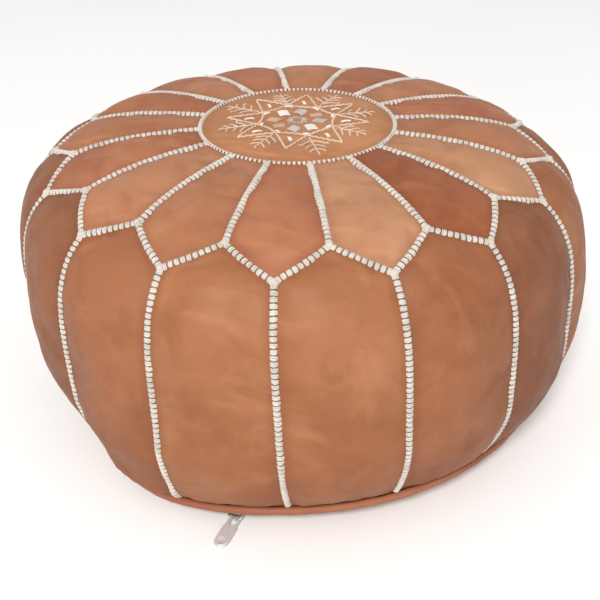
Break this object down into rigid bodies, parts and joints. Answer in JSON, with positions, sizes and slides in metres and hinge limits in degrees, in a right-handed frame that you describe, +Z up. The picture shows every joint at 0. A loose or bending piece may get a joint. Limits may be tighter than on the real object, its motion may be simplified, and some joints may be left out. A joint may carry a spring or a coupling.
{
  "type": "leather pouf",
  "caption": "Round stuffed leather footstool: sewn petals round an embroidered medallion on top, upright side panels, piped rim and a zipped base.",
  "frame": {"origin": "on the floor under the centre of the base", "axes": "+Z up; -Y towards the front, where the zip ends and its pull shows; +X to the right seen from the front"},
  "size_m": [0.55, 0.5581, 0.2892],
  "materials": {
    "medallion_leather": "golden tan leather, satin",
    "petal_leather": "tan to reddish-brown leather, satin",
    "side_leather": "tan leather, satin, slightly mottled",
    "base_leather": "plain brown leather, matt",
    "piping_leather": "folded tan leather, satin",
    "seam_thread": "waxed ivory thread in close cross stitches",
    "embroidery_thread": "ivory thread in satin stitch",
    "stuffing_cotton": "packed cotton wadding",
    "zip_tape": "woven brown tape",
    "zip_metal": "dull nickel-plated brass",
    "slider_metal": "cast metal, satin silver"
  },
  "bodies": {
    "cover": {"medallion": "medallion_leather", "petal_01": "petal_leather", "petal_02": "petal_leather", "petal_03": "petal_leather", "petal_04": "petal_leather", "petal_05": "petal_leather", "petal_06": "petal_leather", "petal_07": "petal_leather", "petal_08": "petal_leather", "petal_09": "petal_leather", "petal_10": "petal_leather", "petal_11": "petal_leather", "petal_12": "petal_leather", "petal_13": "petal_leather", "petal_14": "petal_leather", "petal_15": "petal_leather", "petal_16": "petal_leather", "side_panel_01": "side_leather", "side_panel_02": "side_leather", "side_panel_03": "side_leather", "side_panel_04": "side_leather", "side_panel_05": "side_leather", "side_panel_06": "side_leather", "side_panel_07": "side_leather", "side_panel_08": "side_leather", "side_panel_09": "side_leather", "side_panel_10": "side_leather", "side_panel_11": "side_leather", "side_panel_12": "side_leather", "side_panel_13": "side_leather", "side_panel_14": "side_leather", "side_panel_15": "side_leather", "side_panel_16": "side_leather", "base_left": "base_leather", "base_right": "base_leather", "rim_piping": "piping_leather", "medallion_seam_thread": "seam_thread", "petal_seam_threads": "seam_thread", "zigzag_seam_threads": "seam_thread", "side_seam_threads": "seam_thread", "medallion_embroidery": "embroidery_thread", "stuffing": "stuffing_cotton", "zip_tape_left": "zip_tape", "zip_tape_right": "zip_tape", "zip_teeth_left": "zip_metal", "zip_teeth_right": "zip_metal", "zip_top_stops": "zip_metal", "zip_bottom_stop": "zip_metal"},
    "slider": {"zip_slider": "slider_metal"},
    "pull_tab": {"zip_pull_tab": "slider_metal"}
  },
  "joints": [
    {"name": "zip_slide", "type": "slide", "parent": "cover", "child": "slider", "axis": [0, 1, 0], "range_m": [0, 0.376]},
    {"name": "pull_swing", "type": "hinge", "parent": "slider", "child": "pull_tab", "pos_m": [0, -0.2475, 0.0041], "axis": [1, 0, 0], "range_deg": [-5, 165]}
  ]
}
